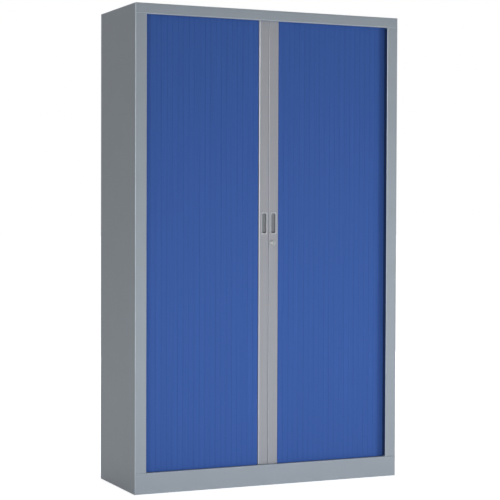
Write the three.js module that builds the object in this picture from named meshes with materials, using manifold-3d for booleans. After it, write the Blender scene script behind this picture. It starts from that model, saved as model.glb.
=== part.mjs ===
// Tambour door cabinet: a folded sheet-steel cupboard. Its two slatted curtains part in the middle
// and run round the front corners into pockets behind the side panels. Millimetres, +X to the
// right, +Y to the back, +Z up, with the origin on the floor under the middle of the carcass.
import * as THREE from "three";
import { mergeVertices } from "three/addons/utils/BufferGeometryUtils.js";
import Module from "manifold-3d";

const wasm = await Module();
wasm.setup();

// Carcass
const width = 1200;
const depth = 430;
const height = 1980;
const sheet = 1.2; // thickness of the sheet steel
const gap = 0.3; // between pieces that touch
const overrun = 1; // how far a cutting tool runs past what it cuts
const stileWidth = 49;
const headerHeight = 42;
const plinthHeight = 86;

// Storage space, measured from the outside of the carcass
const pocketWidth = 30; // side of the carcass to the inner face of the liner
const curtainZone = 79; // front of the carcass to the liners and shelves
const rearZone = 34; // back of the carcass to the inner back

// Curtains and the profiles that lead them
const handleWidth = 46;
const handleSetback = 22;
const handleDepth = 16;
const meetingGap = 0.8; // between the two handle profiles
const usualSlatPitch = 24;
const slatsPerStrip = 2;
const curtainOverlap = 23; // of the slats behind the stile
const slatThickness = 3;
const slatSetback = 27;

// Tracks that the curtains run in
const ledgeDrop = 18; // from the edge of the opening to the ledge under a track
const trackBase = 3.7;
const ribHeight = 6;
const ribThickness = 2;
const grooveWidth = 4;
const ribClearance = 1; // from a rib to the slats and profiles above it

// Planes that several pieces share
const outerX = width / 2;
const wallInsideX = outerX - sheet;
const fittedX = wallInsideX - gap; // ends of what fits between the side walls
const openingX = outerX - stileWidth;
const interiorX = outerX - pocketWidth;
const frontY = -depth / 2;
const backY = depth / 2;
const behindFaceY = frontY + sheet + gap;
const backPanelY = backY - sheet - gap; // rear face of the back panel
const fittedBackY = backPanelY - sheet - gap;
const behindFlangeY = fittedBackY - sheet - gap; // rear end of what stops at a rear flange
const interiorFrontY = frontY + curtainZone;
const interiorBackY = backY - rearZone;
const openingTopZ = height - headerHeight;
const coverUndersideZ = height - sheet;
const fittedTopZ = coverUndersideZ - gap;
const floorLedgeZ = plinthHeight - ledgeDrop;
const ceilingLedgeZ = openingTopZ + ledgeDrop;
const trackMiddleY = frontY + slatSetback + slatThickness / 2;
const grooveFloorDepth = gap + trackBase; // from a ledge to the floor of the groove
const ribTipDepth = grooveFloorDepth + ribHeight;
const slatBottomZ = floorLedgeZ + ribTipDepth + ribClearance;
const slatTopZ = ceilingLedgeZ - ribTipDepth - ribClearance;
const tongueBottomZ = floorLedgeZ + grooveFloorDepth + gap;
const tongueTopZ = ceilingLedgeZ - grooveFloorDepth - gap;

const cabinet = new THREE.Group();

// Turns a closed geometry into a solid that can be joined and cut
function solid(geometry) {
  const bare = geometry.clone();
  bare.deleteAttribute("normal");
  bare.deleteAttribute("uv");
  const merged = mergeVertices(bare);
  return new wasm.Manifold(
    new wasm.Mesh({
      numProp: 3,
      vertProperties: merged.attributes.position.array,
      triVerts: new Uint32Array(merged.index.array),
    }),
  );
}

function geometryOf(made) {
  const { vertProperties, triVerts } = made.getMesh();
  const geometry = new THREE.BufferGeometry();
  geometry.setAttribute("position", new THREE.BufferAttribute(vertProperties, 3));
  geometry.setIndex(new THREE.BufferAttribute(triVerts, 1));
  geometry.computeVertexNormals();
  return geometry;
}

function join(first, ...others) {
  return others.reduce((made, other) => made.add(other), first);
}

function cut(body, ...tools) {
  return tools.reduce((made, tool) => made.subtract(tool), body);
}

// A box between two values on each axis, given in either order
function block(x, y, z) {
  const size = [x, y, z].map(([a, b]) => Math.abs(b - a));
  const middle = [x, y, z].map(([a, b]) => (a + b) / 2);
  const place = new THREE.Matrix4().makeTranslation(...middle).scale(new THREE.Vector3(...size));
  return solid(new THREE.BoxGeometry().applyMatrix4(place));
}

function unitExtrusion(outline, curveSegments) {
  return new THREE.ExtrudeGeometry(outline, { depth: 1, bevelEnabled: false, curveSegments });
}

// An outline drawn in plan, standing between two heights
function upright(outline, [bottom, top], curveSegments = 6) {
  const place = new THREE.Matrix4().makeTranslation(0, 0, bottom);
  place.scale(new THREE.Vector3(1, 1, top - bottom));
  return solid(unitExtrusion(outline, curveSegments).applyMatrix4(place));
}

// An outline drawn in the front view about (x, z), running from one depth to another
function fromFront(outline, x, z, [near, far], curveSegments = 6) {
  const place = new THREE.Matrix4().makeBasis(
    new THREE.Vector3(1, 0, 0),
    new THREE.Vector3(0, 0, 1),
    new THREE.Vector3(0, near - far, 0),
  );
  place.setPosition(x, far, z);
  return solid(unitExtrusion(outline, curveSegments).applyMatrix4(place));
}

// An outline drawn as seen from the right, in Y and Z, running along X
function alongX(outline, [left, right]) {
  const place = new THREE.Matrix4().makeBasis(
    new THREE.Vector3(0, 1, 0),
    new THREE.Vector3(0, 0, 1),
    new THREE.Vector3(right - left, 0, 0),
  );
  place.setPosition(left, 0, 0);
  return solid(unitExtrusion(outline).applyMatrix4(place));
}

// An outline whose first axis points up and whose second points right, running along Y
function alongY(outline, [near, far]) {
  const place = new THREE.Matrix4().makeBasis(
    new THREE.Vector3(0, 0, 1),
    new THREE.Vector3(1, 0, 0),
    new THREE.Vector3(0, far - near, 0),
  );
  place.setPosition(0, near, 0);
  return solid(unitExtrusion(outline).applyMatrix4(place));
}

// Section of a folded sheet: the points run along one face, with the metal on their left
function folded(points) {
  const path = points.map(([x, y]) => new THREE.Vector2(x, y));
  const turnLeft = (a, b) => new THREE.Vector2(a.y - b.y, b.x - a.x).normalize();
  const otherFace = path.map((point, i) => {
    const last = path.length - 1;
    const before = turnLeft(path[Math.max(i - 1, 0)], path[Math.max(i, 1)]);
    const after = turnLeft(path[Math.min(i, last - 1)], path[Math.min(i + 1, last)]);
    const along = before.clone().add(after);
    return point.clone().addScaledVector(along, sheet / (1 + before.dot(after)));
  });
  return new THREE.Shape([...path, ...otherFace.reverse()]);
}

function circle(radius) {
  return new THREE.Shape().absarc(0, 0, radius, 0, 2 * Math.PI, false);
}

function roundedRectangle(wide, high, radius) {
  const x = wide / 2 - radius;
  const y = high / 2 - radius;
  const outline = new THREE.Shape();
  outline.absarc(x, -y, radius, -Math.PI / 2, 0, false);
  outline.absarc(x, y, radius, 0, Math.PI / 2, false);
  outline.absarc(-x, y, radius, Math.PI / 2, Math.PI, false);
  outline.absarc(-x, -y, radius, Math.PI, (3 * Math.PI) / 2, false);
  return outline;
}

function addPiece(name, made, material, place = [0, 0, 0]) {
  const mesh = new THREE.Mesh(geometryOf(made), material);
  mesh.name = name;
  mesh.position.set(...place);
  cabinet.add(mesh);
}

// Adds a piece modelled on the left side, and its mirror image on the right
function addPair(name, made, makeMaterial) {
  const geometry = geometryOf(made);
  for (const [hand, mirror] of [["left", 1], ["right", -1]]) {
    const mesh = new THREE.Mesh(geometry, makeMaterial());
    mesh.name = `${hand}_${name}`;
    mesh.scale.x = mirror;
    cabinet.add(mesh);
  }
}

// Materials
function paintedSteel() {
  return new THREE.MeshStandardMaterial({ color: 0x9aa1a8, roughness: 0.45, metalness: 0.35 });
}

function galvanisedSteel() {
  return new THREE.MeshStandardMaterial({ color: 0x9fa3a5, roughness: 0.5, metalness: 0.9 });
}

function trackPlastic() {
  return new THREE.MeshStandardMaterial({ color: 0x3a3d40, roughness: 0.55, metalness: 0 });
}

function slatPlastic() {
  return new THREE.MeshStandardMaterial({ color: 0x3c5ba5, roughness: 0.5, metalness: 0 });
}

function anodisedAluminium() {
  return new THREE.MeshStandardMaterial({ color: 0xa3a7ae, roughness: 0.35, metalness: 0.8 });
}

function greyPlastic() {
  return new THREE.MeshStandardMaterial({ color: 0x8f949b, roughness: 0.5, metalness: 0 });
}

function nickelPlate() {
  return new THREE.MeshStandardMaterial({ color: 0xc9cbcc, roughness: 0.2, metalness: 1 });
}

// Side panels: one folded sheet each, with the front stile and the rear flange on it
const stileReturn = 20;
const stileHem = 10;
const rearFlange = 22;

function sidePanel() {
  const hemBackY = frontY + stileReturn;
  const section = folded([
    [rearFlange - outerX, backY],
    [-outerX, backY],
    [-outerX, frontY],
    [-openingX, frontY],
    [-openingX, hemBackY],
    [-openingX - stileHem, hemBackY],
  ]);
  const stileX = [-wallInsideX, overrun - openingX];
  const stileY = [frontY - overrun, hemBackY + overrun];
  return cut(
    upright(section, [0, fittedTopZ]),
    block(stileX, stileY, [-overrun, plinthHeight + gap]),
    block(stileX, stileY, [openingTopZ - gap, height]),
  );
}

addPair("side_panel", sidePanel(), paintedSteel);

// Header rail: a channel between the side walls, over the ends of the stiles
const railReturn = 18; // lower return of the header and upper return of the plinth
const headerTopFlange = 25;

function headerRail() {
  const section = folded([
    [frontY + headerTopFlange, fittedTopZ],
    [frontY, fittedTopZ],
    [frontY, openingTopZ],
    [frontY + railReturn, openingTopZ],
  ]);
  return alongX(section, [-fittedX, fittedX]);
}

addPiece("header_rail", headerRail(), paintedSteel());

// Plinth: a channel between the side walls, which the stiles stand on
const plinthFootFlange = 25;
const plinthHoleRadius = 2;
const plinthHoleInset = 50; // from the outside of the carcass
const plinthHoleDrop = 20;
const plinthHoleX = outerX - plinthHoleInset;
const smallHoleSides = 12;

function plinth() {
  const section = folded([
    [frontY + railReturn, plinthHeight],
    [frontY, plinthHeight],
    [frontY, 0],
    [frontY + plinthFootFlange, 0],
  ]);
  const reach = [frontY - overrun, frontY + sheet + overrun];
  const holeZ = plinthHeight - plinthHoleDrop;
  const holes = [-plinthHoleX, plinthHoleX].map((x) =>
    fromFront(circle(plinthHoleRadius), x, holeZ, reach, smallHoleSides),
  );
  return cut(alongX(section, [-fittedX, fittedX]), ...holes);
}

addPiece("plinth", plinth(), paintedSteel());

// Top cover: a lid over the walls, with its flanges inside them
const coverFlange = 20;

function topCover() {
  const flangeZ = [height - coverFlange, height];
  const flangeY = [frontY + headerTopFlange + gap, behindFlangeY];
  const rearX = outerX - rearFlange - gap;
  return join(
    block([-outerX, outerX], [frontY, backY], [coverUndersideZ, height]),
    block([-fittedX, sheet - fittedX], flangeY, flangeZ),
    block([fittedX - sheet, fittedX], flangeY, flangeZ),
    block([-rearX, rearX], [backY - sheet, backY], flangeZ),
  );
}

addPiece("top_cover", topCover(), paintedSteel());

// Back panel: a flat sheet behind the rear flanges of the side panels
function backPanel() {
  return block([-fittedX, fittedX], [backPanelY - sheet, backPanelY], [gap, fittedTopZ]);
}

addPiece("back_panel", backPanel(), paintedSteel());

// Levelling feet, in the middle of the base channels; the bottom panel leaves access to them
const channelWidth = 80;
const channelInset = 10; // from the outside of the carcass
const footX = outerX - channelInset - channelWidth / 2;
const footInset = 26; // from the front and back of the storage space
const footPadRadius = 20;
const footPadThickness = 5;
const footPadChamfer = 2;
const footNeckRadius = 8;
const footNeckHeight = 4;
const footScrewRadius = 5;
const footHeight = 72;
const footSocketRadius = 3;
const footSocketDepth = 8;
const footAccessRadius = 8;
const hexSides = 6;
const footSides = 20;
const footYs = [interiorFrontY + footInset, interiorBackY - footInset];

function uprightRound(radius, x, y, z, sides = smallHoleSides) {
  return upright(new THREE.Shape().absarc(x, y, radius, 0, 2 * Math.PI, false), z, sides);
}

function levellingFoot() {
  const padTop = footPadThickness;
  const neckTop = footPadThickness + footNeckHeight;
  const profile = [
    [0, 0],
    [footPadRadius - footPadChamfer, 0],
    [footPadRadius, footPadChamfer],
    [footPadRadius, padTop],
    [footNeckRadius, neckTop],
    [footScrewRadius, neckTop],
    [footScrewRadius, footHeight],
    [0, footHeight],
  ].map(([r, z]) => new THREE.Vector2(r, z));
  const turned = new THREE.LatheGeometry(profile, footSides).rotateX(Math.PI / 2);
  const socketZ = [footHeight - footSocketDepth, footHeight + overrun];
  return cut(solid(turned), uprightRound(footSocketRadius, 0, 0, socketZ, hexSides));
}

const footPlaces = [
  ["front_left", -footX, footYs[0]],
  ["front_right", footX, footYs[0]],
  ["rear_left", -footX, footYs[1]],
  ["rear_right", footX, footYs[1]],
];
for (const [where, x, y] of footPlaces) {
  addPiece(`${where}_foot`, levellingFoot(), galvanisedSteel(), [x, y, 0]);
}

// Base channels: an inverted channel under each side, with a threaded boss for each foot
const channelFlange = 14;
const bossRadius = 9;
const bossBottomZ = 40;

function baseChannel() {
  const [left, right] = [channelInset - outerX, channelInset + channelWidth - outerX];
  const top = floorLedgeZ - sheet - gap;
  const section = folded([
    [0, left + channelFlange],
    [0, left],
    [top, left],
    [top, right],
    [0, right],
    [0, right - channelFlange],
  ]);
  const channel = alongY(section, [frontY + plinthFootFlange + gap, behindFlangeY]);
  const bosses = footYs.map((footY) =>
    uprightRound(bossRadius, -footX, footY, [bossBottomZ, top - sheet / 2]),
  );
  const boreZ = [bossBottomZ - overrun, top + overrun];
  const bores = footYs.map((footY) =>
    uprightRound(footScrewRadius + gap, -footX, footY, boreZ, footSides),
  );
  return cut(join(channel, ...bosses), ...bores);
}

addPair("base_channel", baseChannel(), galvanisedSteel);

// Bottom panel and ceiling panel: a ledge for the tracks all round, and a raised middle that the
// storage space sees. The ceiling panel is the same form turned over.
const panelFlange = 18;

function ledgePanel(visibleZ, into) {
  const at = (distance) => visibleZ + into * distance;
  const x = interiorX - gap;
  const y = [interiorFrontY + gap, interiorBackY - gap];
  const ledge = [at(ledgeDrop), at(ledgeDrop + sheet)];
  const flange = [at(ledgeDrop), at(ledgeDrop + panelFlange)];
  const panel = join(
    block([-fittedX, fittedX], [behindFaceY, fittedBackY], ledge),
    block([-x, x], y, [at(0), at(ledgeDrop + sheet)]),
    block([-fittedX, fittedX], [behindFaceY, behindFaceY + sheet], flange),
    block([-fittedX, fittedX], [fittedBackY - sheet, fittedBackY], flange),
  );
  const hollow = [at(sheet), at(ledgeDrop + sheet + overrun)];
  return cut(panel, block([sheet - x, x - sheet], [y[0] + sheet, y[1] - sheet], hollow));
}

function bottomPanel() {
  const reach = [plinthHeight - sheet - overrun, plinthHeight + overrun];
  const holes = footPlaces.map(([, x, y]) => uprightRound(footAccessRadius, x, y, reach));
  return cut(ledgePanel(plinthHeight, -1), ...holes);
}

addPiece("bottom_panel", bottomPanel(), paintedSteel());
addPiece("ceiling_panel", ledgePanel(openingTopZ, 1), paintedSteel());

// Shelves: folded trays that hang by four lugs in slots of the liners
const shelfCount = 4;
const shelfHeight = 30;
const shelfReturn = 15;
const lugInset = 40; // from the front and back of the storage space
const lugThickness = 3;
const lugHeight = 12;
const lugReach = 4;
const lugHook = 2;
const lugHookDrop = 4;
const lugDrop = 8; // from the top of the shelf
const slotSpare = 1;
const bayHeight = (openingTopZ - plinthHeight) / (shelfCount + 1);
const lugYs = [interiorFrontY + lugInset, interiorBackY - lugInset];

function shelf() {
  const x = interiorX - gap;
  const y = [interiorFrontY + gap, interiorBackY - gap];
  const lugs = [-1, 1].flatMap((side) =>
    lugYs.flatMap((lugY) => [
      block(
        [side * (x - sheet), side * (x + lugReach)],
        [lugY - lugThickness / 2, lugY + lugThickness / 2],
        [-lugDrop - lugHeight, -lugDrop],
      ),
      block(
        [side * (x + lugReach - lugHook), side * (x + lugReach)],
        [lugY - lugThickness / 2, lugY + lugThickness / 2],
        [-lugDrop - lugHeight - lugHookDrop, -lugDrop],
      ),
    ]),
  );
  return join(
    block([-x, x], y, [-sheet, 0]),
    block([-x, x], [y[0], y[0] + sheet], [-shelfHeight, 0]),
    block([-x, x], [y[1] - sheet, y[1]], [-shelfHeight, 0]),
    block([-x, x], [y[0], y[0] + shelfReturn], [-shelfHeight, sheet - shelfHeight]),
    block([-x, sheet - x], y, [-shelfHeight, 0]),
    block([x - sheet, x], y, [-shelfHeight, 0]),
    ...lugs,
  );
}

const shelfZs = Array.from({ length: shelfCount }, (_, i) => plinthHeight + bayHeight * (i + 1));
shelfZs.forEach((z, i) => addPiece(`shelf_${i + 1}`, shelf(), paintedSteel(), [0, 0, z]));

// Inner liners: a side wall with slots for the shelf lugs, and half of the inner back
const linerHem = 6;

function innerLiner() {
  const section = folded([
    [-interiorX - linerHem, interiorFrontY],
    [-interiorX, interiorFrontY],
    [-interiorX, interiorBackY],
    [-gap / 2, interiorBackY],
  ]);
  const slots = shelfZs.flatMap((shelfZ) =>
    lugYs.map((lugY) => {
      const bottom = shelfZ - lugDrop - lugHeight - gap;
      return block(
        [-interiorX - sheet - overrun, overrun - interiorX],
        [lugY - lugThickness / 2 - gap, lugY + lugThickness / 2 + gap],
        [bottom, bottom + lugHeight + lugHookDrop + slotSpare],
      );
    }),
  );
  return cut(upright(section, [floorLedgeZ + gap, ceilingLedgeZ - gap]), ...slots);
}

addPair("inner_liner", innerLiner(), paintedSteel);

// Front tracks: a grooved rail behind the plinth, and its twin behind the header
const frontTrackBackMargin = 8; // base of the track behind the middle of the groove
const frontTrackFrontMargin = 8;
const frontTrackInset = 6; // from the edge of the opening
const frontTrackX = openingX - frontTrackInset;
const nearRib = grooveWidth / 2; // from the middle of the groove to the near face of a rib
const farRib = grooveWidth / 2 + ribThickness;

// Heights of a track's base and ribs, reckoned from the ledge that carries it
function trackHeights(ledgeZ, into) {
  return {
    base: [ledgeZ + into * gap, ledgeZ + into * grooveFloorDepth],
    rib: [ledgeZ + into * grooveFloorDepth, ledgeZ + into * ribTipDepth],
  };
}

function frontTrack(ledgeZ, into) {
  const { base, rib } = trackHeights(ledgeZ, into);
  const x = [-frontTrackX, frontTrackX];
  const baseY = [trackMiddleY - frontTrackFrontMargin, trackMiddleY + frontTrackBackMargin];
  return join(
    block(x, baseY, base),
    block(x, [trackMiddleY - farRib, trackMiddleY - nearRib], rib),
    block(x, [trackMiddleY + nearRib, trackMiddleY + farRib], rib),
  );
}

addPiece("bottom_front_track", frontTrack(floorLedgeZ, 1), trackPlastic());
addPiece("top_front_track", frontTrack(ceilingLedgeZ, -1), trackPlastic());

// Return tracks: round the front corner, back along the side and behind the inner back
const frontBendRadius = 34;
const rearBendRadius = 30;
const sideRunInset = 15; // from the outside of the carcass
const rearRunInset = 18; // from the back of the carcass
const rearRunLength = 130; // from the inner face of the liner
const sideRunX = outerX - sideRunInset;
const rearRunY = backY - rearRunInset;
const rearRunEndX = interiorX - rearRunLength;
const innerWindowShares = [0.39, 0.79]; // stretch of the front bend without an inner rib
const bendSegments = 8;

// Part of a ring about (x, y), between two angles that run anticlockwise
function ringPart(x, y, [inner, outer], [start, end], z) {
  const outline = new THREE.Shape();
  outline.absarc(x, y, outer, start, end, false);
  outline.absarc(x, y, inner, end, start, true);
  return upright(outline, z, bendSegments);
}

function returnTrack(ledgeZ, into) {
  const { base, rib } = trackHeights(ledgeZ, into);
  const baseZ = [Math.min(...base), Math.max(...base)];
  const ribZ = [Math.min(...rib), Math.max(...rib)];
  const outsideX = fittedX - gap;
  const sideX = interiorX + linerHem + gap;
  const front = trackMiddleY - frontTrackFrontMargin;
  const rear = fittedBackY - gap;
  const frontBend = { x: frontBendRadius - sideRunX, y: trackMiddleY + frontBendRadius };
  const rearBend = { x: rearBendRadius - sideRunX, y: rearRunY - rearBendRadius };
  const quarter = Math.PI / 2;
  const [windowStart, windowEnd] = innerWindowShares.map((share) => 3 * quarter - share * quarter);
  const outerRing = (radius) => [radius + nearRib, radius + farRib];
  const innerRing = (radius) => [radius - farRib, radius - nearRib];
  return join(
    block([-outsideX, -frontTrackX - gap], [front, interiorFrontY - gap], baseZ),
    block([-outsideX, -sideX], [front, rear], baseZ),
    block([-outsideX, -rearRunEndX], [interiorBackY + sheet + gap, rear], baseZ),
    block([frontBend.x, -frontTrackX - gap], [trackMiddleY - farRib, trackMiddleY - nearRib], ribZ),
    block([frontBend.x, -frontTrackX - gap], [trackMiddleY + nearRib, trackMiddleY + farRib], ribZ),
    ringPart(frontBend.x, frontBend.y, outerRing(frontBendRadius), [2 * quarter, 3 * quarter], ribZ),
    ringPart(frontBend.x, frontBend.y, innerRing(frontBendRadius), [windowStart, 3 * quarter], ribZ),
    ringPart(frontBend.x, frontBend.y, innerRing(frontBendRadius), [2 * quarter, windowEnd], ribZ),
    block([-sideRunX - farRib, -sideRunX - nearRib], [frontBend.y, rearBend.y], ribZ),
    block([nearRib - sideRunX, farRib - sideRunX], [frontBend.y, rearBend.y], ribZ),
    ringPart(rearBend.x, rearBend.y, outerRing(rearBendRadius), [quarter, 2 * quarter], ribZ),
    ringPart(rearBend.x, rearBend.y, innerRing(rearBendRadius), [quarter, 2 * quarter], ribZ),
    block([rearBend.x, -rearRunEndX], [rearRunY + nearRib, rearRunY + farRib], ribZ),
    block([rearBend.x, -rearRunEndX], [rearRunY - farRib, rearRunY - nearRib], ribZ),
  );
}

addPair("bottom_return_track", returnTrack(floorLedgeZ, 1), trackPlastic);
addPair("top_return_track", returnTrack(ceilingLedgeZ, -1), trackPlastic);

// Handle profiles: an open-backed extrusion at the leading edge of each curtain
const profileWall = 1.6;
const profileLip = 6;
const profileOuterRadius = 5; // beside the slats
const profileInnerRadius = 1.5; // where the two profiles meet
const handleFaceY = frontY + handleSetback;
const handleBackY = handleFaceY + handleDepth;

// Grip cups
const gripX = 21;
const gripZ = 1096;
const cupRimWidth = 28;
const cupRimHeight = 92;
const cupRimRadius = 5;
const cupRimThickness = 1.5;
const cupRecessWidth = 18;
const cupRecessHeight = 80;
const cupRecessRadius = 6;
const cupDepth = 12;
const cupWall = 1.5;

// Lock, on the right profile under the grip
const lockX = 18;
const lockZ = 1013;
const lockHousingRadius = 11;
const rosetteRadius = 13;
const rosetteThickness = 1.5;
const lockProud = 9;
const lockBodyDepth = 10; // behind the face of the profile
const plugRadius = 7.5;
const plugProud = 0.6;
const keySlotWidth = 1.4;
const keySlotHeight = 7;
const keySlotDepth = 8;
const driveRadius = 3;
const lockSides = 32;

// Hook on the rear end of the plug: it hangs down when unlocked
const hookThickness = 2.5;
const hookSetback = 11; // behind the face of the profile
const hookHubRadius = 8;
const hookArmWidth = 10;
const hookReach = 29;
const hookNoseWidth = 5;
const hookNoseHeight = 9;
const hookSlotBelow = 29.5; // from the axis of the plug
const hookSlotAbove = 8.5;
const hookSlotAhead = 2.2; // in front of the hook
const hookSlotY = handleFaceY + hookSetback - hookSlotAhead;

// Cut-out for the hook where the two profiles meet, open at the back
function hookSlot() {
  const x = [-meetingGap - profileWall - profileLip, 0];
  const z = [lockZ - hookSlotBelow, lockZ + hookSlotAbove];
  return block(x, [hookSlotY, handleBackY + overrun], z);
}

// The profile on the left, with the openings that both hands share
function handleProfile() {
  const x = [-handleWidth, -meetingGap / 2];
  const outline = new THREE.Shape();
  outline.moveTo(x[0], handleBackY);
  outline.lineTo(x[0], handleFaceY + profileOuterRadius);
  outline.absarc(
    x[0] + profileOuterRadius,
    handleFaceY + profileOuterRadius,
    profileOuterRadius,
    Math.PI,
    (3 * Math.PI) / 2,
    false,
  );
  outline.absarc(
    x[1] - profileInnerRadius,
    handleFaceY + profileInnerRadius,
    profileInnerRadius,
    (3 * Math.PI) / 2,
    2 * Math.PI,
    false,
  );
  outline.lineTo(x[1], handleBackY);
  const reach = [slatBottomZ - overrun, slatTopZ + overrun];
  const hollowX = [x[0] + profileWall, x[1] - profileWall];
  const hollowY = [handleFaceY + profileWall, handleBackY - profileWall];
  const hollow = upright(hollowOutline(hollowX, hollowY), reach);
  const mouth = block(
    [hollowX[0] + profileLip, hollowX[1] - profileLip],
    [hollowY[0], handleBackY + overrun],
    reach,
  );
  const gripHole = roundedRectangle(
    cupRecessWidth + 2 * (cupWall + gap),
    cupRecessHeight + 2 * (cupWall + gap),
    cupRecessRadius + cupWall + gap,
  );
  return cut(
    upright(outline, [slatBottomZ, slatTopZ]),
    hollow,
    mouth,
    fromFront(gripHole, -gripX, gripZ, [handleFaceY - overrun, hollowY[0] + overrun]),
    hookSlot(),
  );
}

// Inside of the profile, which follows the large outer radius
function hollowOutline([left, right], [near, far]) {
  const radius = profileOuterRadius - profileWall;
  const outline = new THREE.Shape();
  outline.moveTo(left, far);
  outline.lineTo(left, near + radius);
  outline.absarc(left + radius, near + radius, radius, Math.PI, (3 * Math.PI) / 2, false);
  outline.lineTo(right, near);
  outline.lineTo(right, far);
  return outline;
}

function lockHole() {
  const reach = [handleFaceY - overrun, handleFaceY + profileWall + overrun];
  return fromFront(circle(lockHousingRadius + gap), -lockX, lockZ, reach, lockSides / 2);
}

addPiece("left_handle_profile", handleProfile(), anodisedAluminium());
const rightProfile = new THREE.Mesh(
  geometryOf(cut(handleProfile(), lockHole())),
  anodisedAluminium(),
);
rightProfile.name = "right_handle_profile";
rightProfile.scale.x = -1;
cabinet.add(rightProfile);

// Grip cup: a rim on the face of the profile, with a recess for the fingertips
function gripCup() {
  const rimFaceY = handleFaceY - gap - cupRimThickness;
  const rim = roundedRectangle(cupRimWidth, cupRimHeight, cupRimRadius);
  const tub = roundedRectangle(
    cupRecessWidth + 2 * cupWall,
    cupRecessHeight + 2 * cupWall,
    cupRecessRadius + cupWall,
  );
  const recess = roundedRectangle(cupRecessWidth, cupRecessHeight, cupRecessRadius);
  const tubBackY = rimFaceY + cupDepth + cupWall;
  return cut(
    join(
      fromFront(rim, -gripX, gripZ, [rimFaceY, rimFaceY + cupRimThickness]),
      fromFront(tub, -gripX, gripZ, [rimFaceY + cupRimThickness / 2, tubBackY]),
    ),
    fromFront(recess, -gripX, gripZ, [rimFaceY - overrun, rimFaceY + cupDepth]),
  );
}

addPair("grip_cup", gripCup(), greyPlastic);

// End glides: plugs in the ends of the profiles, with a tongue in the track
const glideHeight = 15;
const glideTongueWidth = 30;

function endGlide(endZ, tongueZ, into) {
  const inset = profileWall + gap;
  const corner = profileOuterRadius - profileWall;
  const x = [corner + inset - handleWidth, -meetingGap / 2 - inset];
  const y = [handleFaceY + inset, handleBackY - inset];
  const middleX = -handleWidth / 2;
  const tongueY = [frontY + slatSetback, frontY + slatSetback + slatThickness];
  return join(
    block(x, y, [endZ, endZ + into * glideHeight]),
    block(
      [middleX - glideTongueWidth / 2, middleX + glideTongueWidth / 2],
      tongueY,
      [tongueZ, endZ + (into * glideHeight) / 2],
    ),
  );
}

addPair("bottom_glide", endGlide(slatBottomZ, tongueBottomZ, 1), trackPlastic);
addPair("top_glide", endGlide(slatTopZ, tongueTopZ, -1), trackPlastic);

// Lock housing: a collar through the face of the profile, with a rosette on the face
function lockHousing() {
  const near = handleFaceY - lockProud;
  const far = handleFaceY + lockBodyDepth;
  const rosetteFar = handleFaceY - gap;
  const profile = [
    [plugRadius + gap, near],
    [plugRadius + gap, far],
    [lockHousingRadius, far],
    [lockHousingRadius, rosetteFar],
    [rosetteRadius, rosetteFar],
    [rosetteRadius, rosetteFar - rosetteThickness],
    [lockHousingRadius, rosetteFar - rosetteThickness],
    [lockHousingRadius, near],
    [plugRadius + gap, near],
  ].map(([r, y]) => new THREE.Vector2(r, y));
  return solid(new THREE.LatheGeometry(profile.reverse(), lockSides));
}

addPiece("lock_housing", lockHousing(), nickelPlate(), [lockX, 0, lockZ]);

// Lock plug: turns in the housing, with the keyway in its face and the hook's drive behind
function lockPlug() {
  const near = handleFaceY - lockProud - plugProud;
  const shoulder = handleFaceY + lockBodyDepth;
  const driveEnd = handleFaceY + hookSetback + hookThickness + gap;
  const profile = [
    [0, near],
    [plugRadius, near],
    [plugRadius, shoulder],
    [driveRadius, shoulder],
    [driveRadius, driveEnd],
    [0, driveEnd],
  ].map(([r, y]) => new THREE.Vector2(r, y));
  const keyway = block(
    [-keySlotWidth / 2, keySlotWidth / 2],
    [near - overrun, near + keySlotDepth],
    [-keySlotHeight / 2, keySlotHeight / 2],
  );
  return cut(solid(new THREE.LatheGeometry(profile, lockSides)), keyway);
}

addPiece("lock_plug", lockPlug(), nickelPlate(), [lockX, 0, lockZ]);

// Lock hook: a hub on the drive, an arm, and a nose that catches behind the strike
function lockHook() {
  const y = [handleFaceY + hookSetback, handleFaceY + hookSetback + hookThickness];
  const arm = block([-hookArmWidth / 2, hookArmWidth / 2], y, [-hookReach, 0]);
  const nose = block(
    [-hookArmWidth / 2 - hookNoseHeight, 0],
    y,
    [-hookReach, hookNoseWidth - hookReach],
  );
  const hub = fromFront(circle(hookHubRadius), 0, 0, y, smallHoleSides);
  const bore = fromFront(
    circle(driveRadius + gap),
    0,
    0,
    [y[0] - overrun, y[1] + overrun],
    smallHoleSides,
  );
  return cut(join(hub, arm, nose), bore);
}

addPiece("lock_hook", lockHook(), galvanisedSteel(), [lockX, 0, lockZ]);

// Lock strike: a notched plate inside the left profile, which the nose catches behind
const strikeThickness = 2;
const strikeBelow = 45; // from the axis of the plug
const strikeAbove = 25;
const strikeNotchBelow = 29;

function lockStrike() {
  const nearX = -meetingGap / 2 - profileWall - gap;
  const x = [nearX - strikeThickness, nearX];
  const y = [handleFaceY + profileWall + gap, handleBackY - profileWall - gap];
  const plate = block(x, y, [lockZ - strikeBelow, lockZ + strikeAbove]);
  const notch = block(
    [x[0] - overrun, x[1] + overrun],
    [hookSlotY, y[1] + overrun],
    [lockZ - strikeNotchBelow, lockZ + hookSlotAbove],
  );
  return cut(plate, notch);
}

addPiece("lock_strike", lockStrike(), galvanisedSteel());

// Curtains: upright strips of two hooked slats, with a tongue at each end in the track. The
// strips are numbered from the handle profile outwards.
const grooveDepth = 1; // of the V between two slats
const tongueWidth = 8;
const curtainSpan = openingX + curtainOverlap - handleWidth;
const stripsPerCurtain = Math.round(curtainSpan / (usualSlatPitch * slatsPerStrip));
const stripWidth = curtainSpan / stripsPerCurtain;
const slatPitch = stripWidth / slatsPerStrip;

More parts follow.
